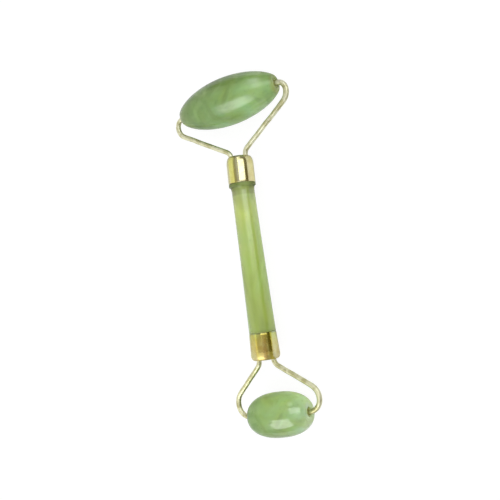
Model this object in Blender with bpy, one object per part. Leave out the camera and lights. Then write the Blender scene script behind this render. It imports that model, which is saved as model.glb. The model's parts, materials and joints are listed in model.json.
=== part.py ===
"""Double-ended jade face roller, lying on its two stones, in metres.

+X runs along the handle towards the large stone, +Y runs along the roller axes to the left side,
and +Z points up. The origin is the middle of the footprint, on the ground.
"""
from dataclasses import dataclass
from math import ceil, cos, pi, radians, sin, tan

import bmesh
import bpy
from mathutils import Matrix, Vector

MM = 0.001

# Yoke wire
WIRE_RADIUS = 1.0 * MM
WIRE_SPREAD = 3.3 * MM           # from the handle's axis to each leg where it leaves the ferrule
WIRE_STRAIGHT = 1.9 * MM         # from the ferrule's end to the corner of the first bend
FIRST_BEND = 3.0 * MM
HAIRPIN_DEPTH = 4.3 * MM         # from the ferrule's end down to the closed end of the hairpin
HAIRPIN_BEND = 2.1 * MM
PIN_INSIDE = 7.6 * MM            # how far each pin reaches into its stone

# Ferrule, a thin brass cap
FERRULE_MOUTH_RADIUS = 5.42 * MM
FERRULE_LENGTH = 10.7 * MM
FERRULE_WALL = 0.5 * MM

# Handle, between the mouths of the two ferrules
HANDLE_LENGTH = 59.2 * MM
HANDLE_SMALL_END_RADIUS = 5.36 * MM
HANDLE_WAIST_RADIUS = 4.85 * MM
HANDLE_LARGE_END_RADIUS = 4.52 * MM
COLLAR_RADIUS = 5.42 * MM
COLLAR_LENGTH = 1.2 * MM
COLLAR_FILLET = 1.9 * MM
TENON_LENGTH = 4.4 * MM

# Bearing sleeve in each end of a stone
SLEEVE_RADIUS = 1.6 * MM
SLEEVE_LENGTH = 8.4 * MM
SLEEVE_RECESS = 0.45 * MM
SLEEVE_CHAMFER = 0.25 * MM
PIN_CLEARANCE = 0.05 * MM        # on the radius, between the pin and the sleeve's flats

# Gaps left by glue and press fits
GLUE_GAP = 0.3 * MM
WIRE_GAP = 0.15 * MM
SLEEVE_GAP = 0.15 * MM
COUNTERSINK = 0.4 * MM

# Facets
STONE_SIDES = 32
STONE_RINGS = 7                  # on each side of the stone's flat middle band
TURNED_SIDES = 24
SLEEVE_SIDES = 16
BEND_STEP = radians(20)


@dataclass
class Head:
    """One end of the roller, in the frame of its own ferrule's end: X outwards, Z up."""
    name: str
    stone_distance: float        # ferrule's end to the roller axis
    stone_half_length: float
    stone_radius: float
    fullness: float              # exponents of the stone's outline: higher is more like a barrel
    end_fullness: float
    end_face: float              # radius of the flat ground on each end of the stone
    arm_gap: float               # stone's end to the wire's centre line
    elbow_distance: float        # ferrule's end to the corner where the arms turn parallel
    elbow_bend: float
    pin_bend: float
    lean: float                  # turn of the bent yoke in its own plane
    sideways: float              # stone's middle to the yoke's centre line
    ferrule_radius: float        # the cap's widest, just before its rounded end
    shoulder_across: float       # the cap's rounded end, across the axis and along it
    shoulder_along: float
    turn: float                  # which way the head faces along the handle
    jade: tuple


LARGE = Head("large", 22.9 * MM, 23.9 * MM, 9.55 * MM, 1.96, 1.80, 3.3 * MM, 1.95 * MM, 16.6 * MM,
             4.6 * MM, 3.4 * MM, radians(4.5), -0.7 * MM, 5.45 * MM, 1.5 * MM, 3.2 * MM,
             0.0, (0.27, 0.45, 0.20))
SMALL = Head("small", 21.8 * MM, 13.9 * MM, 8.80 * MM, 2.32, 2.33, 4.2 * MM, 4.1 * MM, 13.7 * MM,
             5.6 * MM, 5.0 * MM, radians(2.4), 1.95 * MM, 5.8 * MM, 1.2 * MM, 2.0 * MM,
             pi, (0.38, 0.56, 0.29))


def clear_scene():
    for old in list(bpy.data.objects):
        bpy.data.objects.remove(old)


def finish(name, colour, roughness, metallic=0.0):
    """A plain Principled material in the sub-part's colour."""
    material = bpy.data.materials.new(name)
    material.use_nodes = True
    shader = material.node_tree.nodes["Principled BSDF"]
    shader.inputs["Base Color"].default_value = (*colour, 1.0)
    shader.inputs["Roughness"].default_value = roughness
    shader.inputs["Metallic"].default_value = metallic
    material.diffuse_color = (*colour, 1.0)
    return material


def frame_at(name, parent=None, location=(0, 0, 0), turn=0.0):
    """An empty that holds pieces in a common place and direction."""
    empty = bpy.data.objects.new(name, None)
    bpy.context.collection.objects.link(empty)
    empty.parent = parent
    empty.location = location
    empty.rotation_euler.z = turn
    return empty


def piece(name, mesh, material, parent):
    mesh.materials.append(material)
    mesh.shade_smooth()
    mesh.set_sharp_from_angle(angle=radians(35))
    body = bpy.data.objects.new(name, mesh)
    bpy.context.collection.objects.link(body)
    body.parent = parent
    return body


def turned(name, outline, axis, sides):
    """A mesh turned from an outline of (along, radius) points, with a flat facing straight down."""
    along = Vector((1, 0, 0)) if axis == "X" else Vector((0, 1, 0))
    down = Matrix.Rotation(pi / sides, 3, along) @ Vector((0, 0, -1))
    mesh_maker = bmesh.new()
    corners = [mesh_maker.verts.new(along * s + down * r) for s, r in outline]
    edges = [mesh_maker.edges.new(pair) for pair in zip(corners, corners[1:])]
    if outline[0][1] > 0:
        edges.append(mesh_maker.edges.new((corners[-1], corners[0])))
    bmesh.ops.spin(mesh_maker, geom=corners + edges, cent=(0, 0, 0), axis=along,
                   angle=2 * pi, steps=sides, use_merge=True)
    bmesh.ops.remove_doubles(mesh_maker, verts=mesh_maker.verts, dist=1e-7)
    bmesh.ops.recalc_face_normals(mesh_maker, faces=mesh_maker.faces)
    mesh = bpy.data.meshes.new(name)
    mesh_maker.to_mesh(mesh)
    mesh_maker.free()
    return mesh


def bent_path(corners, bends):
    """Points along straight runs joined by arcs, with one bend radius for each inner corner."""
    points = [corners[0]]
    for before, corner, after, bend in zip(corners, corners[1:], corners[2:], bends):
        back = (before - corner).normalized()
        ahead = (after - corner).normalized()
        inside = back.angle(ahead)
        swing = pi - inside
        centre = corner + (back + ahead).normalized() * bend / sin(inside / 2)
        spoke = corner + back * bend / tan(inside / 2) - centre
        side = 1 if back.cross(ahead).z < 0 else -1
        steps = max(2, ceil(swing / BEND_STEP))
        for step in range(steps + 1):
            points.append(centre + Matrix.Rotation(side * swing * step / steps, 3, "Z") @ spoke)
    points.append(corners[-1])
    return points


def wire_mesh(name, points, radius):
    """A twelve-sided wire with flat ends."""
    curve = bpy.data.curves.new(name, "CURVE")
    curve.dimensions = "3D"
    curve.bevel_depth = radius
    curve.bevel_resolution = 4
    curve.use_fill_caps = True
    spline = curve.splines.new("POLY")
    spline.points.add(len(points) - 1)
    for knot, point in zip(spline.points, points):
        knot.co = (*point, 1.0)
    carrier = bpy.data.objects.new(name, curve)
    bpy.context.collection.objects.link(carrier)
    mesh = bpy.data.meshes.new_from_object(carrier)
    mesh.name = name
    bpy.data.objects.remove(carrier)
    bpy.data.curves.remove(curve)
    return mesh


def cut_away(body, tool_mesh, name):
    """Cut a hidden tool's shape out of a piece."""
    tool = bpy.data.objects.new(name, tool_mesh)
    bpy.context.collection.objects.link(tool)
    tool.parent = body.parent
    tool.display_type = "WIRE"
    tool.hide_render = True
    cut = body.modifiers.new(name, "BOOLEAN")
    cut.operation = "DIFFERENCE"
    cut.solver = "EXACT"
    cut.object = tool


def quarter(start, end, steps):
    """Points of a quarter ellipse that leaves start along the axis and reaches end across it."""
    (s0, r0), (s1, r1) = start, end
    turns = [pi / 2 * step / steps for step in range(1, steps + 1)]
    return [(s0 + (s1 - s0) * sin(t), r1 + (r0 - r1) * cos(t)) for t in turns]


def handle_radius(along):
    """The waist: a parabola through the radii at both ends and at the middle."""
    half = HANDLE_LENGTH / 2
    tilt = (HANDLE_LARGE_END_RADIUS - HANDLE_SMALL_END_RADIUS) / 2
    sag = (HANDLE_LARGE_END_RADIUS + HANDLE_SMALL_END_RADIUS) / 2 - HANDLE_WAIST_RADIUS
    return HANDLE_WAIST_RADIUS + tilt * along / half + sag * (along / half) ** 2


def build_handle(jade, parent):
    """A stone rod with a tenon on each end and a flared collar at the large end."""
    small_face = -HANDLE_LENGTH / 2 + GLUE_GAP
    large_face = HANDLE_LENGTH / 2 - GLUE_GAP
    tenon_radius = FERRULE_MOUTH_RADIUS - FERRULE_WALL - GLUE_GAP
    fillet_start = large_face - COLLAR_LENGTH - COLLAR_FILLET
    waist_rings = 9
    spacing = (fillet_start - small_face) / waist_rings
    waist = [small_face + spacing * ring for ring in range(waist_rings + 1)]
    outline = [(small_face - TENON_LENGTH, 0.0), (small_face - TENON_LENGTH, tenon_radius)]
    outline += [(small_face, tenon_radius)]
    outline += [(s, handle_radius(s)) for s in waist]
    outline += quarter(outline[-1], (large_face - COLLAR_LENGTH, COLLAR_RADIUS), 4)
    outline += [(large_face, COLLAR_RADIUS), (large_face, tenon_radius)]
    outline += [(large_face + TENON_LENGTH, tenon_radius), (large_face + TENON_LENGTH, 0.0)]
    return piece("handle", turned("handle", outline, "X", TURNED_SIDES), jade, parent)


def shoulder(head, end, inset):
    """The cap's rounded end, or the same shape inset, as a curve from the wall to the flat."""
    across = head.shoulder_across - inset / 2
    along = head.shoulder_along - inset / 2
    radius = head.ferrule_radius - inset
    turns = [pi / 2 * step / 4 for step in range(5)]
    return [(end - along + along * sin(t), radius - across + across * cos(t)) for t in turns]


def build_ferrule(head, brass, frame):
    """A cap with its end at the frame's origin, its mouth inwards and two holes for the wire."""
    mouth = -FERRULE_LENGTH
    outline = [(0.0, 0.0)]
    outline += list(reversed(shoulder(head, 0.0, 0.0)))
    outline += [(mouth, FERRULE_MOUTH_RADIUS), (mouth, FERRULE_MOUTH_RADIUS - FERRULE_WALL)]
    outline += shoulder(head, -FERRULE_WALL, FERRULE_WALL)
    outline += [(-FERRULE_WALL, 0.0)]
    name = head.name + "_ferrule"
    cap = piece(name, turned(name, outline, "X", TURNED_SIDES), brass, frame)
    for side, label in ((1, "left"), (-1, "right")):
        ends = [Vector((x, side * WIRE_SPREAD, 0)) for x in (-HAIRPIN_DEPTH, WIRE_STRAIGHT)]
        tool = wire_mesh(label + "_wire_hole", ends, WIRE_RADIUS + WIRE_GAP)
        cut_away(cap, tool, head.name + "_" + label + "_wire_hole")
    return cap


def leaned(head, x, y):
    """A point of the bent yoke, turned by its lean about the ferrule's end."""
    return Matrix.Rotation(head.lean, 3, "Z") @ Vector((x, y, 0))


def arm_corners(head, side):
    """Corners of one arm's centre line, from the ferrule's end to the tip of its pin."""
    reach = head.sideways + side * (head.stone_half_length + head.arm_gap)
    pin_tip = head.sideways + side * (head.stone_half_length - PIN_INSIDE)
    return [Vector((WIRE_STRAIGHT, side * WIRE_SPREAD, 0)),
            leaned(head, head.elbow_distance, reach),
            leaned(head, head.stone_distance, reach),
            leaned(head, head.stone_distance, pin_tip)]


def build_yoke(head, gilt, frame):
    """One wire: a hairpin inside the ferrule, two arms and two pins that face each other."""
    hairpin = [Vector((-HAIRPIN_DEPTH, side * WIRE_SPREAD, 0)) for side in (1, -1)]
    corners = list(reversed(arm_corners(head, 1))) + hairpin + arm_corners(head, -1)
    arm_bends = [head.pin_bend, head.elbow_bend, FIRST_BEND]
    bends = arm_bends + [HAIRPIN_BEND, HAIRPIN_BEND] + list(reversed(arm_bends))
    name = head.name + "_yoke_wire"
    return piece(name, wire_mesh(name, bent_path(corners, bends), WIRE_RADIUS), gilt, frame)


def build_anchor(head, resin, frame):
    """Set resin that fills the closed end of the ferrule round the wire's hairpin."""
    near = -FERRULE_LENGTH + TENON_LENGTH + GLUE_GAP
    inset = FERRULE_WALL + GLUE_GAP
    rounded_end = shoulder(head, -inset, inset)
    outline = [(near, 0.0), (near, FERRULE_MOUTH_RADIUS - inset)] + rounded_end
    outline += [(rounded_end[-1][0], 0.0)]
    name = head.name + "_anchor_resin"
    plug = piece(name, turned(name, outline, "X", TURNED_SIDES), resin, frame)
    legs = [Vector((x, side * WIRE_SPREAD, 0))
            for side, x in ((1, WIRE_STRAIGHT), (1, -HAIRPIN_DEPTH),
                            (-1, -HAIRPIN_DEPTH), (-1, WIRE_STRAIGHT))]
    channel = bent_path(legs, [HAIRPIN_BEND, HAIRPIN_BEND])
    tool = wire_mesh(name + "_channel", channel, WIRE_RADIUS + WIRE_GAP)
    cut_away(plug, tool, head.name + "_hairpin_channel")
    return plug


def stone_radius(head, along):
    """The stone's true radius at a distance from its middle."""
    fraction = min(1.0, abs(along) / head.stone_half_length)
    return head.stone_radius * (1 - fraction ** head.fullness) ** (1 / head.end_fullness)


def stone_face(head):
    """Distance from the stone's middle to the flat on each end."""
    left = 1 - (head.end_face / head.stone_radius) ** head.end_fullness
    return head.stone_half_length * left ** (1 / head.fullness)


def build_stone(head, jade, axle):
    """A polished stone with flat ends and a countersunk blind bore in each."""
    bore = SLEEVE_RADIUS + SLEEVE_GAP
    face = stone_face(head)
    bore_end = face - SLEEVE_RECESS - SLEEVE_LENGTH - GLUE_GAP
    turns = [pi / 2 * (ring + 0.5) / (STONE_RINGS + 0.5) for ring in range(STONE_RINGS + 1)]
    outside = [face * sin(t) for t in turns]
    flats_on_circle = 1 / cos(pi / STONE_SIDES)
    half = [(outside[0], head.stone_radius * flats_on_circle)]
    half += [(s, stone_radius(head, s) * flats_on_circle) for s in outside[1:]]
    half += [(face, bore + COUNTERSINK), (face - COUNTERSINK, bore)]
    half += [(bore_end, bore), (bore_end, 0.0)]
    outline = [(-s, r) for s, r in reversed(half)] + half
    name = head.name + "_roller_stone"
    return piece(name, turned(name, outline, "Y", STONE_SIDES), jade, axle)


def build_sleeve(head, side, label, nylon, axle):
    """A plain bearing for one pin, set just below the stone's countersink."""
    outer = stone_face(head) - SLEEVE_RECESS
    inner = outer - SLEEVE_LENGTH
    bore = (WIRE_RADIUS + PIN_CLEARANCE) / cos(pi / SLEEVE_SIDES)
    outline = [(inner, bore), (inner, SLEEVE_RADIUS), (outer, SLEEVE_RADIUS),
               (outer, bore + SLEEVE_CHAMFER), (outer - SLEEVE_CHAMFER, bore)]
    outline = [(side * s, r) for s, r in outline]
    name = head.name + "_" + label + "_sleeve"
    return piece(name, turned(name, outline, "Y", SLEEVE_SIDES), nylon, axle)


def build_head(head, materials, body, pitch):
    """The ferrule, yoke, resin, stone and sleeves of one end."""
    facing = cos(head.turn)
    end = (facing * (HANDLE_LENGTH / 2 + FERRULE_LENGTH), 0, 0)
    frame = frame_at(head.name + "_head", body, end, head.turn)
    build_ferrule(head, materials["brass"], frame)
    build_yoke(head, materials["gilt"], frame)
    build_anchor(head, materials["resin"], frame)
    middle = leaned(head, head.stone_distance, head.sideways)
    axle = frame_at(head.name + "_axle", frame, middle, head.lean)
    level = frame_at(head.name + "_level", axle)
    level.rotation_euler.y = -facing * pitch
    jade = finish(head.name + "_stone_jade", head.jade, 0.12)
    build_stone(head, jade, level)
    for side, label in ((facing, "left"), (-facing, "right")):
        build_sleeve(head, side, label, materials["nylon"], level)


def axle_middle(head):
    """The middle of a roller axis, seen from the middle of the handle."""
    reach = Vector((HANDLE_LENGTH / 2 + FERRULE_LENGTH, 0, 0))
    middle = leaned(head, head.stone_distance, head.sideways)
    return Matrix.Rotation(head.turn, 3, "Z") @ (reach + middle)


def resting_pitch():
    """The handle's small slope when both stones touch the ground."""
    span = axle_middle(LARGE).x - axle_middle(SMALL).x
    return -(LARGE.stone_radius - SMALL.stone_radius) / span


def rest_on_origin(body):
    """Move the whole roller so that its footprint is centred on the origin, on the ground."""
    bpy.context.view_layer.update()
    corners = []
    for item in bpy.data.objects:
        if item.type == "MESH" and not item.hide_render:
            corners += [item.matrix_world @ vertex.co for vertex in item.data.vertices]
    low = [min(corner[k] for corner in corners) for k in range(3)]
    high = [max(corner[k] for corner in corners) for k in range(3)]
    body.location = (-(low[0] + high[0]) / 2, -(low[1] + high[1]) / 2, -low[2])
    bpy.context.view_layer.update()


def build_roller():
    clear_scene()
    materials = {
        "brass": finish("ferrule_brass", (0.80, 0.66, 0.38), 0.18, 1.0),
        "gilt": finish("yoke_gilt", (0.78, 0.70, 0.48), 0.22, 1.0),
        "resin": finish("anchor_resin", (0.62, 0.58, 0.46), 0.5),
        "nylon": finish("sleeve_nylon", (0.86, 0.86, 0.80), 0.45),
    }
    pitch = resting_pitch()
    body = frame_at("resting_pose")
    body.rotation_euler.y = pitch
    build_handle(finish("handle_jade", (0.44, 0.55, 0.24), 0.16), body)
    for head in (LARGE, SMALL):
        build_head(head, materials, body, pitch)
    rest_on_origin(body)


build_roller()
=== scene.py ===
import json
from math import cos, exp, pi, radians, sin, tan
from types import SimpleNamespace

import bmesh
import bpy
import numpy as np
from mathutils import Matrix, Vector, noise


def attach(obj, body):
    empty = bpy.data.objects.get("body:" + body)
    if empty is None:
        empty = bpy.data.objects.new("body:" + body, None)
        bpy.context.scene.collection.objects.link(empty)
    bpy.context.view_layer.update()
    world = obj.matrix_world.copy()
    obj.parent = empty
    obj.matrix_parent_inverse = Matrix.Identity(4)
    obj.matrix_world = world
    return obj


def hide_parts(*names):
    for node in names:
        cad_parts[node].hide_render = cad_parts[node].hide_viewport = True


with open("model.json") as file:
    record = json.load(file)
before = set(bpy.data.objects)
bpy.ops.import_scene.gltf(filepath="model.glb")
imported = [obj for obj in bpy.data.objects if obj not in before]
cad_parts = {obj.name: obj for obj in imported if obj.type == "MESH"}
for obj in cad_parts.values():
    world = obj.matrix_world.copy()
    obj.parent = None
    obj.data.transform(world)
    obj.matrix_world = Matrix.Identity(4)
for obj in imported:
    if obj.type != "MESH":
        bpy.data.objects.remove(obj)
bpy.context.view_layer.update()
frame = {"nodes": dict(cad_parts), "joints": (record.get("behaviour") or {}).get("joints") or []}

# Looks of the double-ended jade face roller, in metres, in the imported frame: +X runs along the
# handle towards the large stone and +Z points up. Sizes repeat the driving sizes of the CAD source.

MM = 0.001

# The wire: each yoke is one piece, with a hairpin in the cap and a pin at each end of the stone.
WIRE_RADIUS = 0.985 * MM
WIRE_SPREAD = 3.3 * MM
WIRE_STRAIGHT = 1.9 * MM
FIRST_BEND = 3.0 * MM
HAIRPIN_DEPTH = 4.3 * MM
HAIRPIN_BEND = 2.1 * MM
PIN_INSIDE = 7.6 * MM
PIN_TIP_BULGE = 0.35 * WIRE_RADIUS

# Marks of bending: the flats at the elbows, the wander of the arms and the uneven section.
ELBOW_MIDDLE = 0.2
PRESSED_REACH = 5.0 * MM
PRESSED_WIDER = 0.2
PRESSED_THINNER = 0.15
WAVE_HEIGHT = 0.28 * MM
WAVE_LENGTH = 5.0 * MM
WAVE_ROWS = (0.3, 7.7)
SLACK_MARGIN = 2.5 * MM
SLACK_FADE = 3.0 * MM
UNEVEN_WIDTH = 0.012
UNEVEN_LENGTH = 5.0 * MM
UNEVEN_HEIGHT_SHARE = 0.4
EASING_PASSES = 6

# The brass caps.
FERRULE_MOUTH_RADIUS = 5.38 * MM
FERRULE_LENGTH = 10.7 * MM
FERRULE_WALL = 0.5 * MM
INNER_SHOULDER_FILLET = 0.9 * MM
RIM_LENGTH = 0.75 * MM
MOUTH_EASE = 0.15 * MM
WIRE_HOLE_GAP = 0.07 * MM
WIRE_HOLE_START = -3.5 * MM
WIRE_HOLE_END = 1.8 * MM

# The handle, with a tenon in each cap and a collar under the large one.
HANDLE_LENGTH = 59.2 * MM
HANDLE_SMALL_END_RADIUS = 5.34 * MM
HANDLE_WAIST_RADIUS = 4.84 * MM
HANDLE_LARGE_END_RADIUS = 4.51 * MM
SMALL_FACE_EASE = 0.12 * MM
COLLAR_RADIUS = 5.36 * MM
COLLAR_LENGTH = 1.2 * MM
COLLAR_FILLET = 1.9 * MM
COLLAR_INNER_EASE = 0.3 * MM
COLLAR_OUTER_EASE = 0.35 * MM
TENON_RADIUS = 4.62 * MM
TENON_LENGTH = 4.4 * MM
TENON_EASE = 0.3 * MM
SEAM = 0.04 * MM

# The bores of the stones and the sleeves in them.
SLEEVE_RADIUS = 1.6 * MM
SLEEVE_BORE = 1.06 * MM
SLEEVE_LENGTH = 8.4 * MM
SLEEVE_RECESS = 0.12 * MM
SLEEVE_GAP = 0.06 * MM
SLEEVE_CHAMFER = 0.25 * MM
COUNTERSINK = 0.4 * MM
COUNTERSINK_EASE = 0.3 * MM
BORE_EASE = 0.2 * MM
FACE_EASE = 0.9 * MM

# The shallow hollows that polishing leaves, as (depth, size), and how fast they change round X.
HANDLE_HOLLOWS = (0.07 * MM, 14 * MM)
HANDLE_HOLLOW_SEED = 2.0
STONE_HOLLOWS = (0.05 * MM, 11 * MM)
HOLLOWS_ROUND = 0.9

# How finely each mesh is made.
HANDLE_SIDES = 128
HANDLE_RINGS = 60
COLLAR_RINGS = 12
CAP_SIDES = 144
CAP_SHOULDER_RINGS = 16
STONE_SIDES = 160
STONE_RINGS = 64
SLEEVE_SIDES = 64
WIRE_SIDES = 32
WIRE_SPACING = 0.3 * MM
WIRE_HOLE_SIDES = 48
WIRE_HOLE_SPACING = 0.5 * MM
SHARP_ANGLE = radians(38)
SAME_POINT = 1e-9

# The two ends of the roller, each in the frame of its own ferrule's end: X outwards and Z up.
LARGE = SimpleNamespace(
    name="large", facing=1,
    stone_distance=22.9 * MM, half_length=23.9 * MM, radius=9.55 * MM,
    fullness=1.96, end_fullness=1.80, end_face=3.3 * MM,
    arm_gap=1.95 * MM, elbow_distance=16.6 * MM, elbow_bend=4.6 * MM, pin_bend=3.4 * MM,
    pressed=(0.3, 1.0), lean=radians(4.5), sideways=-0.7 * MM,
    cap_radius=5.36 * MM, shoulder_across=1.5 * MM, shoulder_along=3.2 * MM,
    cap_tilt=radians(-2.0), mouth_taper=0.02 * MM)
SMALL = SimpleNamespace(
    name="small", facing=-1,
    stone_distance=21.8 * MM, half_length=13.9 * MM, radius=8.80 * MM,
    fullness=2.32, end_fullness=2.33, end_face=4.2 * MM,
    arm_gap=4.1 * MM, elbow_distance=13.7 * MM, elbow_bend=5.6 * MM, pin_bend=5.0 * MM,
    pressed=(0.6, 0.3), lean=radians(2.4), sideways=1.95 * MM,
    cap_radius=5.74 * MM, shoulder_across=1.2 * MM, shoulder_along=2.0 * MM,
    cap_tilt=0.0, mouth_taper=0.15 * MM)


# ---------------------------------------------------------------- places, read from the frame

def corners_of(node):
    """The corners of a CAD node's mesh, as an array."""
    return np.array([vertex.co for vertex in frame["nodes"][node].data.vertices], float)


def middle_of(node):
    """The mean of a CAD node's corners."""
    return Vector(corners_of(node).mean(axis=0))


def placed(origin, along, up=Vector((0, 0, 1))):
    """A matrix with its X axis along a direction and its Z axis as near to up as it can be."""
    x = along.normalized()
    y = up.cross(x).normalized()
    z = x.cross(y)
    matrix = Matrix((x, y, z)).transposed().to_4x4()
    matrix.translation = origin
    return matrix


HANDLE_AXIS = (middle_of("large_ferrule") - middle_of("small_ferrule")).normalized()


def head_place(head):
    """The frame of a ferrule's end, with X outwards."""
    node = head.name + "_ferrule"
    outwards = HANDLE_AXIS * head.facing
    middle = middle_of(node)
    reach = max((corners_of(node) - np.array(middle)) @ np.array(outwards))
    return placed(middle + outwards * float(reach), outwards)


def stone_place(head):
    """The frame of a roller, with X along its joint's axis."""
    joint = next(j for j in frame["joints"] if j["name"] == head.name + "_roller_spin")
    return placed(Vector(joint["pos_m"]), Vector(joint["axis"]))


# ---------------------------------------------------------------- meshes

def fillet(outline, steps=6):
    """Rounds the corners of an outline. A point is (along, radius) or (along, radius, fillet)."""
    points = []
    for index, corner in enumerate(outline):
        size = corner[2] if len(corner) > 2 else 0
        here = Vector(corner[:2])
        if not size or index in (0, len(outline) - 1):
            points.append(here)
            continue
        back = Vector(outline[index - 1][:2]) - here
        ahead = Vector(outline[index + 1][:2]) - here
        inside = back.angle(ahead)
        cut = min(size / tan(inside / 2), back.length * 0.49, ahead.length * 0.49)
        start, end = here + back.normalized() * cut, here + ahead.normalized() * cut
        for step in range(steps + 1):
            t = step / steps
            points.append(start * (1 - t) ** 2 + here * 2 * t * (1 - t) + end * t * t)
    return [(p.x, p.y) for p in points]


def lathe(name, outline, sides, closed=False, wobble=None):
    """A mesh turned about X from (along, radius) points.

    wobble(along, angle) is added to the radius. A closed outline joins its last point to its first.
    """
    maker = bmesh.new()
    rings = []
    for along, radius in outline:
        if radius < SAME_POINT:
            rings.append([maker.verts.new((along, 0, 0))])
            continue
        ring = []
        for side in range(sides):
            angle = 2 * pi * side / sides
            r = radius + (wobble(along, angle) if wobble else 0)
            ring.append(maker.verts.new((along, r * sin(angle), r * cos(angle))))
        rings.append(ring)
    following = rings[1:] + ([rings[0]] if closed else [])
    for near, far in zip(rings, following):
        for side in range(sides):
            after = (side + 1) % sides
            quad = [near[side % len(near)], near[after % len(near)],
                    far[after % len(far)], far[side % len(far)]]
            maker.faces.new(list(dict.fromkeys(quad)))
    bmesh.ops.recalc_face_normals(maker, faces=maker.faces)
    mesh = bpy.data.meshes.new(name)
    maker.to_mesh(mesh)
    maker.free()
    return mesh


def piece(name, mesh, material, place, body, *nodes):
    """A shown piece that stands for CAD nodes and rides on their body.

    The rotation goes into the mesh, so the materials see axes that are parallel to the frame's.
    """
    mesh.transform(place.to_3x3().to_4x4())
    mesh.materials.clear()
    mesh.materials.append(material)
    mesh.shade_smooth()
    mesh.set_sharp_from_angle(angle=SHARP_ANGLE)
    made = bpy.data.objects.new(name, mesh)
    bpy.context.collection.objects.link(made)
    made.location = place.translation
    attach(made, body)
    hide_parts(*nodes)
    return made


def bent_path(corners, bends, turn_step=radians(3)):
    """Points along straight runs joined by arcs, with one bend radius for each inner corner."""
    points = [corners[0]]
    for before, corner, after, bend in zip(corners, corners[1:], corners[2:], bends):
        back = (before - corner).normalized()
        ahead = (after - corner).normalized()
        inside = back.angle(ahead)
        swing = pi - inside
        centre = corner + (back + ahead).normalized() * bend / sin(inside / 2)
        spoke = corner + back * bend / tan(inside / 2) - centre
        side = 1 if back.cross(ahead).z < 0 else -1
        steps = max(2, round(swing / turn_step))
        for step in range(steps + 1):
            points.append(centre + Matrix.Rotation(side * swing * step / steps, 3, "Z") @ spoke)
    points.append(corners[-1])
    return points


def resampled(points, spacing):
    """The same path with evenly spaced points, as an array, and the distance along it."""
    path = np.array(points, float)
    steps = np.linalg.norm(np.diff(path, axis=0), axis=1)
    keep = np.concatenate(([True], steps > SAME_POINT))
    path = path[keep]
    run = np.concatenate(([0], np.cumsum(np.linalg.norm(np.diff(path, axis=0), axis=1))))
    at = np.linspace(0, run[-1], int(run[-1] / spacing) + 1)
    even = np.stack([np.interp(at, run, path[:, k]) for k in range(3)], axis=1)
    return even, at


def eased(path, passes):
    """Softens the start and end of each bend, as in wire bent by hand round pegs."""
    for _ in range(passes):
        path[1:-1] = path[1:-1] * 0.5 + (path[:-2] + path[2:]) * 0.25
    return path


def sweep(name, path, radii, sides):
    """A closed tube round a path that lies nearly in a plane of constant Z.

    radii holds the half width in that plane and the half height for each point.
    """
    ahead = np.gradient(path, axis=0)
    ahead /= np.linalg.norm(ahead, axis=1, keepdims=True)
    beside = np.cross([0, 0, 1], ahead)
    beside /= np.linalg.norm(beside, axis=1, keepdims=True)
    over = np.cross(ahead, beside)
    maker = bmesh.new()
    rings = []
    for point, b, o, (wide, tall) in zip(path, beside, over, radii):
        ring = []
        for side in range(sides):
            angle = 2 * pi * side / sides
            ring.append(maker.verts.new(point + b * wide * cos(angle) + o * tall * sin(angle)))
        rings.append(ring)
    for near, far in zip(rings, rings[1:]):
        for side in range(sides):
            after = (side + 1) % sides
            maker.faces.new((near[side], near[after], far[after], far[side]))
    for ring, point, out in ((rings[0], path[0], -ahead[0]), (rings[-1], path[-1], ahead[-1])):
        tip = maker.verts.new(point + out * PIN_TIP_BULGE)
        for side in range(sides):
            maker.faces.new((ring[side], ring[(side + 1) % sides], tip))
    bmesh.ops.recalc_face_normals(maker, faces=maker.faces)
    mesh = bpy.data.meshes.new(name)
    maker.to_mesh(mesh)
    maker.free()
    return mesh


# ---------------------------------------------------------------- materials

def new_material(name, slot):
    """A material that remembers its slot, with its node tree and its shader."""
    material = bpy.data.materials.new(name)
    material.use_nodes = True
    material["slot"] = slot
    shader = material.node_tree.nodes["Principled BSDF"]
    return material, material.node_tree, shader


def coordinates(tree, stretch=(1, 1, 1)):
    """Object coordinates in millimetres, optionally stretched."""
    place = tree.nodes.new("ShaderNodeTexCoord")
    scale = tree.nodes.new("ShaderNodeMapping")
    scale.inputs["Scale"].default_value = [1000 / s for s in stretch]
    tree.links.new(place.outputs["Object"], scale.inputs["Vector"])
    return scale.outputs["Vector"]


def cloud(tree, vector, size, detail=4.0, warp=0.0, rough=0.55):
    """Noise with features of about size millimetres."""
    node = tree.nodes.new("ShaderNodeTexNoise")
    node.inputs["Scale"].default_value = 1 / size
    node.inputs["Detail"].default_value = detail
    node.inputs["Roughness"].default_value = rough
    node.inputs["Distortion"].default_value = warp
    tree.links.new(vector, node.inputs["Vector"])
    return node.outputs["Fac"]


def ramp(tree, value, *stops):
    """A colour ramp through (position, colour or grey) stops."""
    node = tree.nodes.new("ShaderNodeValToRGB")
    node.color_ramp.interpolation = "EASE"
    elements = node.color_ramp.elements
    while len(elements) < len(stops):
        elements.new(0.5)
    for element, (position, colour) in zip(elements, stops):
        element.position = position
        rgb = colour if isinstance(colour, tuple) else (colour,) * 3
        element.color = (*rgb, 1)
    tree.links.new(value, node.inputs["Fac"])
    return node.outputs["Color"]


def mixed(tree, factor, first, second, blend="MIX"):
    """Two colours mixed. Each input is a socket or a fixed value."""
    node = tree.nodes.new("ShaderNodeMix")
    node.data_type = "RGBA"
    node.blend_type = blend
    colours = [socket for socket in node.inputs if socket.type == "RGBA"]
    connect(tree, factor, node.inputs["Factor"])
    connect(tree, first, colours[0])
    connect(tree, second, colours[1])
    return next(socket for socket in node.outputs if socket.type == "RGBA")


def multiplied(tree, first, second):
    return mixed(tree, 1.0, first, second, "MULTIPLY")


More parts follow.
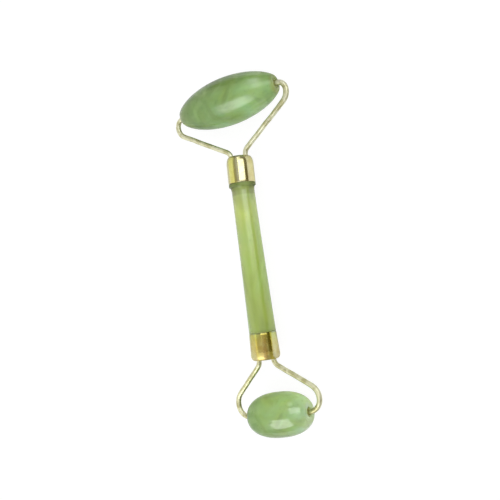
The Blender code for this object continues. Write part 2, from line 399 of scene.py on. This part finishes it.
def connect(tree, value, socket):
    """Feeds a socket from another socket, a colour or a number."""
    if isinstance(value, bpy.types.NodeSocket):
        tree.links.new(value, socket)
    elif isinstance(value, tuple):
        socket.default_value = (*value, 1)
    else:
        socket.default_value = value


def bumped(tree, shader, *layers):
    """Bump from (height, distance in millimetres) layers, coarse to fine."""
    normal = None
    for height, distance in layers:
        node = tree.nodes.new("ShaderNodeBump")
        node.inputs["Strength"].default_value = 1.0
        node.inputs["Distance"].default_value = distance * MM
        tree.links.new(height, node.inputs["Height"])
        if normal:
            tree.links.new(normal, node.inputs["Normal"])
        normal = node.outputs["Normal"]
    tree.links.new(normal, shader.inputs["Normal"])


def along_ramp(tree, axis, *stops):
    """Colours that change along one object axis. A stop is (millimetres, colour)."""
    place = tree.nodes.new("ShaderNodeTexCoord")
    split = tree.nodes.new("ShaderNodeSeparateXYZ")
    tree.links.new(place.outputs["Object"], split.inputs["Vector"])
    start, end = stops[0][0], stops[-1][0]
    scale = tree.nodes.new("ShaderNodeMapRange")
    scale.inputs["From Min"].default_value = start * MM
    scale.inputs["From Max"].default_value = end * MM
    tree.links.new(split.outputs[axis], scale.inputs["Value"])
    return ramp(tree, scale.outputs["Result"],
                *[((at - start) / (end - start), colour) for at, colour in stops])


def jade(name, slot, *, base, axis, bands, across, skin, skin_across=None, size, stretch=(1, 1, 1),
         sheen, glow=0.35, polish):
    """Polished cloudy stone with wisps and flecks under a clear skin.

    bands and across set its colour along its own axis and across it. A little of that is the
    stone's own tone; most is painted light, shade and reflection, set for one view, so it turns
    with the piece. skin and skin_across are how strongly the clear skin reflects. size is the size
    of its clouds in millimetres, sheen is the roughness of the body, and polish is the roughness of
    the skin.
    """
    material, tree, shader = new_material(name, slot)
    where = coordinates(tree, stretch)
    even = coordinates(tree)
    other_axis = "Y" if axis == "X" else "X"
    # The bands and across ramps are mostly painted light, shade and reflection; the drift, clouds,
    # wisps and flecks below are the stone's own random tone.
    tone_and_painted_light = multiplied(tree, along_ramp(tree, axis, *bands), along_ramp(tree, other_axis, *across))
    drift = ramp(tree, cloud(tree, where, size * 0.8, 2.0, 0.4),
                 (0.36, (1.04, 1.0, 0.86)), (0.64, (0.95, 1.0, 1.13)))
    tone_and_painted_light = multiplied(tree, tone_and_painted_light, drift)
    clouds = ramp(tree, cloud(tree, where, size, 3.0, 0.7), (0.32, 0.78), (0.50, 1.0), (0.70, 1.22))
    colour = multiplied(tree, tone_and_painted_light, clouds)
    wisps = ramp(tree, cloud(tree, where, size * 0.5, 3.0, 0.6, 0.5), (0.46, 0.0), (0.74, 0.42))
    colour = mixed(tree, wisps, colour, tuple(min(1.0, 0.06 + c * 1.25) for c in base))
    flecks = ramp(tree, cloud(tree, even, size * 0.09, 4.0, 0.3, 0.7), (0.28, 0.30), (0.42, 0.0))
    colour = mixed(tree, flecks, colour, tuple(c * 0.7 for c in base))
    tree.links.new(colour, shader.inputs["Base Color"])
    rough = ramp(tree, cloud(tree, even, 2.4, 5.0, 0.4, 0.6),
                 (0.3, sheen * 0.9), (0.7, sheen * 1.15))
    tree.links.new(rough, shader.inputs["Roughness"])
    shader.inputs["Specular IOR Level"].default_value = 0.2
    clear = along_ramp(tree, axis, *skin)
    if skin_across:
        clear = multiplied(tree, clear, along_ramp(tree, other_axis, *skin_across))
    tree.links.new(clear, shader.inputs["Coat Weight"])
    shader.inputs["Coat Roughness"].default_value = polish
    shader.inputs["Coat IOR"].default_value = 1.76
    shader.inputs["Subsurface Weight"].default_value = glow
    shader.inputs["Subsurface Radius"].default_value = (0.75, 1.0, 0.45)
    shader.inputs["Subsurface Scale"].default_value = 2.2 * MM
    bumped(tree, shader, (cloud(tree, even, 7.0, 2.0), 0.05), (cloud(tree, even, 0.5, 4.0), 0.0025))
    return material


def polished_metal(name, slot, *, bands, across=None, warmth, gloss, dulling, stretch, ripple):
    """Lacquered pale brass with drawn streaks, ripples and handled patches.

    bands and across are its colour along X and Y. On the caps they are painted reflection and
    shade: stripes along the cap that copy reflections, and a green cast at the small cap's mouth.
    warmth is the colour of the handled patches, gloss is the roughness, dulling multiplies it along
    X, and ripple is in millimetres.
    """
    material, tree, shader = new_material(name, slot)
    drawn = coordinates(tree, stretch)
    even = coordinates(tree)
    # On the caps the bands and across ramps are painted reflection and shade; the wire's bands are
    # its own plain colour.
    tone_and_painted_light = along_ramp(tree, "X", *bands)
    if across:
        tone_and_painted_light = multiplied(tree, tone_and_painted_light, along_ramp(tree, "Y", *across))
    tint = ramp(tree, cloud(tree, even, 3.2, 4.0, 0.5), (0.35, warmth), (0.60, (1.0, 1.0, 1.0)))
    colour = multiplied(tree, tone_and_painted_light, tint)
    marks = ramp(tree, cloud(tree, even, 0.35, 5.0, 0.2, 0.7), (0.28, 0.45), (0.40, 0.0))
    dull = tuple(c * 0.6 for c in bands[0][1])
    tree.links.new(mixed(tree, marks, colour, dull), shader.inputs["Base Color"])
    shader.inputs["Metallic"].default_value = 1.0
    streaks = cloud(tree, drawn, 0.16, 5.0, 0.0, 0.7)
    rough = ramp(tree, mixed(tree, 0.5, streaks, cloud(tree, even, 2.2, 4.0, 0.6)),
                 (0.32, gloss * 0.75), (0.68, gloss * 1.35))
    rough = multiplied(tree, rough, along_ramp(tree, "X", *dulling))
    tree.links.new(rough, shader.inputs["Roughness"])
    bumped(tree, shader, (cloud(tree, even, 2.3, 2.0, 0.3), ripple), (streaks, 0.0018))
    return material


def nylon(name, slot):
    """Slightly translucent turned nylon, coloured dark olive green as painted shade and reflection
    in the bore.
    """
    material, tree, shader = new_material(name, slot)
    even = coordinates(tree)
    # Dark olive green: painted shade and green reflection of the stone in the bore.
    colour = ramp(tree, cloud(tree, even, 0.9, 4.0),
                  (0.3, (0.34, 0.40, 0.09)), (0.7, (0.46, 0.50, 0.14)))
    tree.links.new(colour, shader.inputs["Base Color"])
    rough = ramp(tree, cloud(tree, even, 0.3), (0.3, 0.38), (0.7, 0.55))
    tree.links.new(rough, shader.inputs["Roughness"])
    shader.inputs["Subsurface Weight"].default_value = 0.2
    shader.inputs["Subsurface Radius"].default_value = (0.8, 1.0, 0.5)
    shader.inputs["Subsurface Scale"].default_value = 0.5 * MM
    bumped(tree, shader, (cloud(tree, even, 0.25, 3.0), 0.004))
    return material


def resin(name, slot):
    """Set casting resin, a little cloudy."""
    material, tree, shader = new_material(name, slot)
    even = coordinates(tree)
    colour = ramp(tree, cloud(tree, even, 1.6, 5.0, 0.5),
                  (0.3, (0.42, 0.37, 0.24)), (0.7, (0.62, 0.57, 0.42)))
    tree.links.new(colour, shader.inputs["Base Color"])
    rough = ramp(tree, cloud(tree, even, 0.6), (0.3, 0.28), (0.7, 0.5))
    tree.links.new(rough, shader.inputs["Roughness"])
    bumped(tree, shader, (cloud(tree, even, 0.8, 4.0), 0.03))
    return material


# ---------------------------------------------------------------- the handle and its ferrules

def handle_radius(along):
    """The slightly waisted taper, at a distance from the handle's middle towards the large end."""
    half = HANDLE_LENGTH / 2
    tilt = (HANDLE_LARGE_END_RADIUS - HANDLE_SMALL_END_RADIUS) / 2
    sag = (HANDLE_LARGE_END_RADIUS + HANDLE_SMALL_END_RADIUS) / 2 - HANDLE_WAIST_RADIUS
    return HANDLE_WAIST_RADIUS + tilt * along / half + sag * (along / half) ** 2


def hand_ground(amount, size, seed):
    """Hollows that hand polishing leaves: never above the true radius."""
    def change(along, angle):
        p = Vector((along / size, cos(angle) * HOLLOWS_ROUND + seed, sin(angle) * HOLLOWS_ROUND))
        return -amount * (0.5 + 0.5 * noise.noise(p))
    return change


def make_handle(material):
    """The stone rod, with a soft flared collar under the large ferrule."""
    small_face = -HANDLE_LENGTH / 2 + SEAM
    large_face = HANDLE_LENGTH / 2 - SEAM
    fillet_start = large_face - COLLAR_LENGTH - COLLAR_FILLET
    outline = [(small_face - TENON_LENGTH, 0),
               (small_face - TENON_LENGTH, TENON_RADIUS, TENON_EASE),
               (small_face, TENON_RADIUS),
               (small_face, handle_radius(small_face), SMALL_FACE_EASE)]
    for step in range(1, HANDLE_RINGS + 1):
        s = small_face + (fillet_start - small_face) * step / HANDLE_RINGS
        outline.append((s, handle_radius(s)))
    (s, r), face = outline[-1], large_face - COLLAR_LENGTH
    for step in range(1, COLLAR_RINGS + 1):
        t = pi / 2 * step / COLLAR_RINGS
        outline.append((s + (face - s) * sin(t), COLLAR_RADIUS + (r - COLLAR_RADIUS) * cos(t)))
    outline[-1] = (face, COLLAR_RADIUS, COLLAR_INNER_EASE)
    outline += [(large_face, COLLAR_RADIUS, COLLAR_OUTER_EASE), (large_face, TENON_RADIUS),
                (large_face + TENON_LENGTH, TENON_RADIUS, TENON_EASE),
                (large_face + TENON_LENGTH, 0)]
    mesh = lathe("jade_handle", fillet(outline), HANDLE_SIDES,
                 wobble=hand_ground(*HANDLE_HOLLOWS, HANDLE_HOLLOW_SEED))
    ends = head_place(LARGE).translation + head_place(SMALL).translation
    piece("jade_handle", mesh, material, placed(ends / 2, HANDLE_AXIS), "handle", "handle")


def ferrule_outline(head):
    """The cap's section, from the middle of its end round the rim to the middle of the inside."""
    across, along, radius = head.shoulder_across, head.shoulder_along, head.cap_radius
    points = [(0, 0)]
    for step in range(CAP_SHOULDER_RINGS + 1):
        t = pi / 2 * step / CAP_SHOULDER_RINGS
        points.append((-along + along * cos(t), radius - across + across * sin(t)))
    points += [(-FERRULE_LENGTH + RIM_LENGTH, FERRULE_MOUTH_RADIUS, RIM_LENGTH / 2),
               (-FERRULE_LENGTH, FERRULE_MOUTH_RADIUS - head.mouth_taper, MOUTH_EASE),
               (-FERRULE_LENGTH, FERRULE_MOUTH_RADIUS - FERRULE_WALL, MOUTH_EASE),
               (-along, radius - FERRULE_WALL, INNER_SHOULDER_FILLET),
               (-FERRULE_WALL, radius - FERRULE_WALL - across),
               (-FERRULE_WALL, 0)]
    return fillet(points, 8)


def make_ferrule(head, material):
    """A pressed brass cap, seated a little askew, with a snug hole for each leg of the wire."""
    name = head.name + "_brass_cap"
    mesh = lathe(name, ferrule_outline(head), CAP_SIDES)
    mouth = Matrix.Translation((-FERRULE_LENGTH, 0, 0))
    seat = head_place(head) @ mouth @ Matrix.Rotation(head.cap_tilt, 4, "Z") @ mouth.inverted()
    cap = piece(name, mesh, material, seat, "handle", head.name + "_ferrule")
    for side in (1, -1):
        ends = [(x, side * WIRE_SPREAD, 0) for x in (WIRE_HOLE_START, WIRE_HOLE_END)]
        path, _ = resampled(ends, WIRE_HOLE_SPACING)
        radius = WIRE_RADIUS + WIRE_HOLE_GAP
        tube = sweep("hole", path, [(radius, radius)] * len(path), WIRE_HOLE_SIDES)
        tool = bpy.data.objects.new("hole", tube)
        bpy.context.collection.objects.link(tool)
        tool.matrix_world = head_place(head)
        cut = cap.modifiers.new("hole", "BOOLEAN")
        cut.operation = "DIFFERENCE"
        cut.solver = "EXACT"
        cut.object = tool
        apply_modifiers(cap)
        bpy.data.objects.remove(tool)
    cap.data.shade_smooth()
    cap.data.set_sharp_from_angle(angle=SHARP_ANGLE)


def apply_modifiers(made):
    """Bakes an object's modifiers into its mesh."""
    graph = bpy.context.evaluated_depsgraph_get()
    bpy.context.view_layer.update()
    mesh = bpy.data.meshes.new_from_object(made.evaluated_get(graph))
    made.modifiers.clear()
    made.data = mesh


# ---------------------------------------------------------------- yokes, stones and sleeves

def leaned(head, x, y):
    """A point of a yoke that leans to one side about the middle of the ferrule's end."""
    return Matrix.Rotation(head.lean, 3, "Z") @ Vector((x, y, 0))


def arm_corners(head, side):
    """The corners of one arm before bending, from the cap to the tip of the pin."""
    reach = head.sideways + side * (head.half_length + head.arm_gap)
    pin_tip = head.sideways + side * (head.half_length - PIN_INSIDE)
    return [Vector((WIRE_STRAIGHT, side * WIRE_SPREAD, 0)),
            leaned(head, head.elbow_distance, reach),
            leaned(head, head.stone_distance, reach),
            leaned(head, head.stone_distance, pin_tip)]


def make_yoke(head, material):
    """One bent wire: a hairpin inside the cap, two arms, and a pin at each end of the stone."""
    hairpin = [Vector((-HAIRPIN_DEPTH, side * WIRE_SPREAD, 0)) for side in (1, -1)]
    corners = list(reversed(arm_corners(head, 1))) + hairpin + arm_corners(head, -1)
    arm_bends = [head.pin_bend, head.elbow_bend, FIRST_BEND]
    bends = arm_bends + [HAIRPIN_BEND, HAIRPIN_BEND] + list(reversed(arm_bends))
    path, run = resampled(bent_path(corners, bends), WIRE_SPACING)
    path = eased(path, EASING_PASSES)
    path, radii = pressed(head, path, run)
    name = head.name + "_gilt_yoke"
    mesh = sweep(name, path, radii, WIRE_SIDES)
    piece(name, mesh, material, head_place(head), "handle", head.name + "_yoke_wire")


def pressed(head, path, run):
    """Uneven, wandering wire, flattened and widened on its inner side at the elbows."""
    stone = np.array(leaned(head, head.stone_distance, head.sideways))
    elbows = []
    for side, amount in zip((1, -1), head.pressed):
        reach = head.sideways + side * (head.half_length + head.arm_gap)
        at = head.elbow_distance + (head.stone_distance - head.elbow_distance) * ELBOW_MIDDLE
        elbows.append((np.array(leaned(head, at, reach)), amount))
    seed = head.radius / MM
    moved, radii = [], []
    for point, s in zip(path, run):
        uneven = abs(noise.noise(Vector((s / UNEVEN_LENGTH, seed, 0)))) * UNEVEN_WIDTH
        flat = sum(amount * exp(-(np.linalg.norm(point - elbow) / PRESSED_REACH) ** 2)
                   for elbow, amount in elbows)
        wide = WIRE_RADIUS * (1 - uneven) * (1 + PRESSED_WIDER * flat)
        tall = WIRE_RADIUS * (1 - uneven * UNEVEN_HEIGHT_SHARE) * (1 - PRESSED_THINNER * flat)
        inwards = (stone - point) / np.linalg.norm(stone - point)
        wave = WAVE_HEIGHT * slack(head, point)
        sway = [noise.noise(Vector((s / WAVE_LENGTH, row, seed))) for row in WAVE_ROWS]
        across = np.cross(inwards, (0, 0, 1)) * sway[0] * wave
        moved.append(point + inwards * (WIRE_RADIUS * PRESSED_WIDER * flat) + across
                     + np.array((0, 0, sway[1] * wave)))
        radii.append((wide, tall))
    return np.array(moved), radii


def slack(head, point):
    """How free the wire is to wander: none at the cap or from the elbows to the pins."""
    from_cap = (point[0] - SLACK_MARGIN) / SLACK_FADE
    before_elbows = (head.elbow_distance - SLACK_MARGIN - point[0]) / SLACK_FADE
    return min(1.0, max(0.0, from_cap)) * min(1.0, max(0.0, before_elbows))


def stone_radius(head, along):
    """The stone's full radius at a distance from its middle, before its ends are ground flat."""
    fraction = min(1.0, abs(along) / head.half_length)
    return head.radius * (1 - fraction ** head.fullness) ** (1 / head.end_fullness)


def stone_face(head):
    """Distance from the stone's middle to the flat ground on each end."""
    left = 1 - (head.end_face / head.radius) ** head.end_fullness
    return head.half_length * left ** (1 / head.fullness)


def make_stone(head, material):
    """A polished stone with eased flat ends and a softly countersunk blind bore in each."""
    bore = SLEEVE_RADIUS + SLEEVE_GAP
    face = stone_face(head)
    bore_end = face - SLEEVE_RECESS - SLEEVE_LENGTH - SLEEVE_GAP
    half = []
    for ring in range(STONE_RINGS):
        s = face * sin(pi / 2 * (ring + 0.5) / (STONE_RINGS + 0.5))
        half.append((s, stone_radius(head, s)))
    half = [point for point in half if point[0] < face - FACE_EASE]
    half += [(face, head.end_face, FACE_EASE), (face, bore + COUNTERSINK, COUNTERSINK_EASE),
             (face - COUNTERSINK, bore, BORE_EASE), (bore_end, bore), (bore_end, 0)]
    half = fillet(half, 5)
    outline = [(-s, r) for s, r in reversed(half)] + half
    wobble = hand_ground(*STONE_HOLLOWS, head.radius / MM)
    name = head.name + "_jade_stone"
    mesh = lathe(name, outline, STONE_SIDES, wobble=wobble)
    node = head.name + "_roller_stone"
    piece(name, mesh, material, stone_place(head), head.name + "_roller", node)


def make_sleeve(head, side, label, material):
    """A bearing sleeve with eased ends and a chamfered mouth for the pin."""
    outer = stone_face(head) - SLEEVE_RECESS
    inner = outer - SLEEVE_LENGTH
    inside_bore = (outer - 1.0 * MM, SLEEVE_BORE)
    loop = [inside_bore,
            (inner, SLEEVE_BORE, 0.1 * MM), (inner, SLEEVE_RADIUS, 0.1 * MM),
            (outer, SLEEVE_RADIUS, 0.12 * MM), (outer, SLEEVE_BORE + SLEEVE_CHAMFER, 0.05 * MM),
            (outer - SLEEVE_CHAMFER, SLEEVE_BORE), inside_bore]
    points = [(side * s, r) for s, r in fillet(loop, 4)][:-1]
    name = head.name + "_" + label + "_bearing_sleeve"
    mesh = lathe(name, points, SLEEVE_SIDES, closed=True)
    node = head.name + "_" + label + "_sleeve"
    piece(name, mesh, material, stone_place(head), head.name + "_roller", node)


# ---------------------------------------------------------------- build

# A tone is (millimetres from the piece's middle or the cap's closed end, colour or factor).
# Most of these stops are painted light, shade and reflection, set for one view.
# Handle: darker at the small end and darkest at the collar under the large cap, painted shade where
# the caps shade the stone; lighter across its middle and one side, painted light.
handle_stone = jade(
    "handle_jade_stone", "handle_jade", base=(0.38, 0.48, 0.12), axis="X",
    bands=((-30, (0.25, 0.31, 0.072)), (-28, (0.32, 0.42, 0.095)), (-5, (0.37, 0.49, 0.108)),
           (9, (0.405, 0.508, 0.127)), (20, (0.495, 0.594, 0.17)), (24.3, (0.43, 0.50, 0.15)),
           (25.2, (0.31, 0.35, 0.095)), (27.3, (0.24, 0.27, 0.062)),
           (27.9, (0.12, 0.145, 0.028)), (29.6, (0.11, 0.13, 0.022))),
    across=((-5, 1.12), (-2, 1.16), (1.3, 1.12), (5, 1.0)),
    skin=((-30, 0.9), (26.0, 0.9), (27.2, 0.2), (29.6, 0.15)),
    size=16.0, stretch=(2.6, 1, 1), sheen=0.32, glow=0.4, polish=0.18)
# Large stone: brighter and bluer on the side towards the handle, much darker on the far side,
# lighter towards one end and darker towards the other, painted light and shade; olive at both ends
# round the bores, painted shade and reflection of the wire.
large_stone = jade(
    "large_jade_stone", "large_stone_jade", base=(0.22, 0.34, 0.08), axis="Y",
    bands=((-23.9, (0.37, 0.41, 0.12)), (-21.9, (0.35, 0.41, 0.12)), (-20.6, (0.31, 0.49, 0.17)),
           (-12, (0.29, 0.47, 0.135)), (-4, (0.25, 0.40, 0.105)), (4, (0.20, 0.335, 0.08)),
           (11, (0.157, 0.262, 0.049)), (17, (0.155, 0.24, 0.045)), (20.5, (0.20, 0.27, 0.07)),
           (23, (0.36, 0.40, 0.17))),
    across=((-9.5, (1.20, 1.20, 1.62)), (-4, (1.08, 1.10, 1.30)), (0, (1.0, 1.0, 1.02)),
            (4.5, (0.69, 0.71, 0.47)), (9.5, (0.42, 0.42, 0.27))),
    skin=((-24, 0.7), (-21, 0.4), (-18.5, 0.45), (-16.5, 1.0), (-8, 1.0), (-3, 0.72), (8, 0.6),
          (19, 0.6), (22, 1.0)),
    skin_across=((-9.5, 0.8), (-7, 1.0), (5.5, 1.0), (8, 0.35), (9.5, 0.35)),
    size=13.0, sheen=0.3, polish=0.21)
# Small stone: lighter on the side towards the handle and darker on the far side, lighter towards
# one end and darker towards the other: painted light and shade.
small_stone = jade(
    "small_jade_stone", "small_stone_jade", base=(0.28, 0.43, 0.13), axis="Y",
    bands=((-14, (0.47, 0.63, 0.33)), (-7, (0.355, 0.53, 0.19)), (3, (0.295, 0.46, 0.135)),
           (9, (0.20, 0.325, 0.073)), (14, (0.15, 0.24, 0.055))),
    across=((-9, 0.68), (-5, 0.92), (0, (1.03, 1.03, 0.97)), (9, (1.44, 1.38, 1.24))),
    skin=((-14, 1.0), (-3, 1.0), (5, 0.5), (14, 0.4)),
    skin_across=((-9, 0.5), (-7, 0.6), (-5.2, 1.0), (3.9, 1.0), (4.9, 0.5), (9, 0.5)),
    size=12.0, sheen=0.3, polish=0.10)
# Large cap: the pale, dark olive and yellow stripes along it across Y are painted reflections of
# the room.
large_brass = polished_metal(
    "large_cap_brass", "ferrule_brass",
    bands=((-11, (0.76, 0.71, 0.44)), (-5, (0.74, 0.70, 0.42)), (-1.5, (0.68, 0.65, 0.38)),
           (0, (0.66, 0.58, 0.46))),
    across=((-5.4, (1.18, 1.13, 0.96)), (-4.6, (1.08, 1.05, 1.0)), (-1.2, 1.0),
            (-0.4, (0.78, 0.76, 0.50)), (0.1, (0.80, 0.80, 0.42)), (0.7, (1.02, 1.06, 0.60)),
            (2.3, (1.0, 1.05, 0.66)), (3.0, (0.94, 0.92, 0.84)), (5.4, (0.94, 0.92, 0.84))),
    warmth=(0.92, 0.88, 0.78), gloss=0.25, dulling=((-11, 0.65), (-3, 0.65), (0, 1.0)),
    stretch=(14, 1, 1), ripple=0.006)
# Small cap: the brown, dark and pale stripes along it across Y are painted reflections; greener and
# darker at its mouth, painted reflection and shade of the handle.
small_brass = polished_metal(
    "small_cap_brass", "ferrule_brass",
    bands=((0, (0.80, 0.70, 0.40)), (2.5, (0.76, 0.68, 0.34)), (6, (0.74, 0.66, 0.27)),
           (10.0, (0.66, 0.66, 0.24)), (10.3, (0.44, 0.48, 0.24)), (11, (0.44, 0.48, 0.24))),
    across=((-5.6, (1.0, 1.04, 1.25)), (-5.1, (1.0, 1.04, 1.2)), (-4.8, (0.87, 0.80, 0.30)),
            (-4.3, (0.87, 0.80, 0.31)), (-3.9, (0.86, 0.80, 0.52)), (-3.2, (0.70, 0.59, 0.38)),
            (-2.5, (0.82, 0.72, 0.58)), (-1.9, (1.12, 1.04, 0.82)), (0.3, (1.08, 1.10, 0.78)),
            (1.0, (0.9, 0.93, 0.95)), (5.6, (0.88, 0.91, 0.88))),
    warmth=(0.90, 0.80, 0.62), gloss=0.45, dulling=((0, 1.0), (2.4, 0.9), (3.6, 0.42), (11, 0.38)),
    stretch=(14, 1, 1), ripple=0.022)
wire_gilt = polished_metal(
    "wire_gilt", "yoke_gilt",
    bands=((-30, (0.80, 0.77, 0.52)), (30, (0.80, 0.78, 0.59))),
    warmth=(0.68, 0.66, 0.48), gloss=0.42, dulling=((-30, 0.95), (30, 1.05)),
    stretch=(5, 5, 1), ripple=0.04)
sleeve_nylon = nylon("bearing_nylon", "sleeve_nylon")
plug_resin = resin("plug_resin", "anchor_resin")

make_handle(handle_stone)
for each_head, its_stone, its_brass in ((LARGE, large_stone, large_brass),
                                        (SMALL, small_stone, small_brass)):
    make_ferrule(each_head, its_brass)
    make_yoke(each_head, wire_gilt)
    make_stone(each_head, its_stone)
    for its_side, its_label in ((1, "left"), (-1, "right")):
        make_sleeve(each_head, its_side, its_label, sleeve_nylon)
    plug = frame["nodes"][each_head.name + "_anchor_resin"]
    plug.data.materials.clear()
    plug.data.materials.append(plug_resin)


# ---------------------------------------------------------------- floor, light and camera

SOFTBOX_DISTANCE = 0.9
SOFTBOX_TINT = (0.95, 1.0, 1.0)
CARD_DISTANCE = 0.7
ROOM_LOW = 0.28
ROOM_HIGH = 0.5
FLOOR_SIZE = 3.2
ORIGIN = Vector((0, 0, 0))

CAMERA_TARGET = Vector((1.94, -0.24, 9.16)) * MM
CAMERA_AZIMUTH = radians(-7.252)
CAMERA_ELEVATION = radians(59.965)
CAMERA_ROLL = radians(7.678)
CAMERA_DISTANCE = 299.81 * MM
CAMERA_LENS = 54.69
CAMERA_SENSOR = 36


def facing(direction, along, distance, middle=ORIGIN):
    """A matrix at a distance from a point that faces it, with its Y axis near along."""
    back = Vector(direction).normalized()
    y = Vector(along)
    y = (y - back * y.dot(back)).normalized()
    matrix = Matrix((y.cross(back), y, back)).transposed().to_4x4()
    matrix.translation = middle + back * distance
    return matrix


def softbox(name, direction, *, width, length, radiance, distance=SOFTBOX_DISTANCE, middle=ORIGIN):
    """A soft rectangular light of a given brightness that faces a point; its length is near X."""
    light = bpy.data.lights.new(name, "AREA")
    light.shape = "RECTANGLE"
    light.size, light.size_y = width, length
    light.energy = radiance * pi * width * length
    light.color = SOFTBOX_TINT
    made = bpy.data.objects.new(name, light)
    bpy.context.collection.objects.link(made)
    made.matrix_world = facing(direction, (1, 0, 0), distance, middle)
    made.visible_camera = False


def plain_material(name, colour, emission=0.0, glow_colour=(1, 1, 1)):
    """A matt studio surface that may glow."""
    material = bpy.data.materials.new(name)
    material.use_nodes = True
    shader = material.node_tree.nodes["Principled BSDF"]
    shader.inputs["Base Color"].default_value = (*colour, 1)
    shader.inputs["Roughness"].default_value = 0.9
    shader.inputs["Specular IOR Level"].default_value = 0.0
    shader.inputs["Emission Color"].default_value = (*glow_colour, 1)
    shader.inputs["Emission Strength"].default_value = emission
    return material


def sheet_object(name, width, length, material):
    """A flat sheet of the studio, in the plane of Z = 0."""
    mesh = bpy.data.meshes.new(name)
    w, h = width / 2, length / 2
    mesh.from_pydata([(-w, -h, 0), (w, -h, 0), (w, h, 0), (-w, h, 0)], [], [(0, 1, 2, 3)])
    mesh.materials.append(material)
    made = bpy.data.objects.new(name, mesh)
    bpy.context.collection.objects.link(made)
    return made


def card(name, direction, *, width, length, glow, glow_colour):
    """A standing studio card that shows only in reflections."""
    material = plain_material(name, (0.01, 0.01, 0.01), glow, glow_colour)
    made = sheet_object(name, width, length, material)
    made.matrix_world = facing(direction, (0, 0, 1), CARD_DISTANCE)
    for ray in ("visible_camera", "visible_diffuse", "visible_transmission", "visible_shadow",
                "visible_volume_scatter"):
        setattr(made, ray, False)


def world_light():
    """A pale room that dims towards the floor, seen as plain white by the camera."""
    world = bpy.data.worlds.new("studio")
    bpy.context.scene.world = world
    world.use_nodes = True
    tree = world.node_tree
    place = tree.nodes.new("ShaderNodeTexCoord")
    split = tree.nodes.new("ShaderNodeSeparateXYZ")
    tree.links.new(place.outputs["Generated"], split.inputs["Vector"])
    room = tree.nodes["Background"]
    walls = ramp(tree, split.outputs["Z"], (0.0, ROOM_LOW), (0.45, ROOM_LOW), (0.85, ROOM_HIGH))
    tree.links.new(walls, room.inputs["Color"])
    backdrop = tree.nodes.new("ShaderNodeBackground")
    backdrop.inputs["Color"].default_value = (1, 1, 1, 1)
    rays = tree.nodes.new("ShaderNodeLightPath")
    choose = tree.nodes.new("ShaderNodeMixShader")
    tree.links.new(rays.outputs["Is Camera Ray"], choose.inputs["Fac"])
    tree.links.new(room.outputs["Background"], choose.inputs[1])
    tree.links.new(backdrop.outputs["Background"], choose.inputs[2])
    tree.links.new(choose.outputs["Shader"], tree.nodes["World Output"].inputs["Surface"])


def studio():
    """The lamps and cards, placed so that their reflections fall as in the photograph."""
    world_light()
    softbox("key_softbox", (-0.67, 0.15, 0.727), width=0.62, length=0.74, radiance=2.5)
    softbox("top_softbox", (0.75, -0.20, 0.65), width=0.085, length=0.15, radiance=1.8,
            distance=0.26, middle=stone_place(LARGE).translation)
    softbox("window_softbox", (0.35, -0.59, 0.74), width=0.88, length=0.52, radiance=1.8)
    card("wall_card", (0, 0.87, 0.49), width=2.0, length=0.84, glow=0.93, glow_colour=(1, 1, 0.92))
    card("near_flag", (0, -1, 0.23), width=1.3, length=0.36, glow=0.14, glow_colour=(1, 0.9, 0.4))


def floors():
    """A lit floor for the camera, and one just under it that the object reflects."""
    shown = sheet_object("floor", FLOOR_SIZE, FLOOR_SIZE,
                         plain_material("floor", (0.12, 0.12, 0.12), emission=0.93))
    mirrored = sheet_object("floor_reflected", FLOOR_SIZE, FLOOR_SIZE,
                            plain_material("floor_reflected", (0.96, 0.96, 0.95)))
    mirrored.location.z = -0.2 * MM
    mirrored.visible_camera = False
    for ray in ("visible_glossy", "visible_diffuse", "visible_transmission", "visible_shadow"):
        setattr(shown, ray, False)


def camera():
    """Looks down on the roller with the large stone at the top of the picture."""
    back = Vector((sin(CAMERA_AZIMUTH) * cos(CAMERA_ELEVATION),
                   -cos(CAMERA_AZIMUTH) * cos(CAMERA_ELEVATION), sin(CAMERA_ELEVATION)))
    along = Vector((1, 0, 0))
    level_up = (along - back * along.dot(back)).normalized()
    level_right = (-back).cross(level_up)
    up = level_up * cos(CAMERA_ROLL) + level_right * sin(CAMERA_ROLL)
    right = (-back).cross(up)
    data = bpy.data.cameras.new("camera")
    data.sensor_width = CAMERA_SENSOR
    data.lens = CAMERA_LENS
    data.clip_start, data.clip_end = 0.01, 20
    made = bpy.data.objects.new("camera", data)
    bpy.context.collection.objects.link(made)
    made.matrix_world = Matrix((right, up, back)).transposed().to_4x4()
    made.location = CAMERA_TARGET + back * CAMERA_DISTANCE
    bpy.context.scene.camera = made


floors()
studio()
camera()
bpy.context.scene.view_settings.view_transform = "Standard"
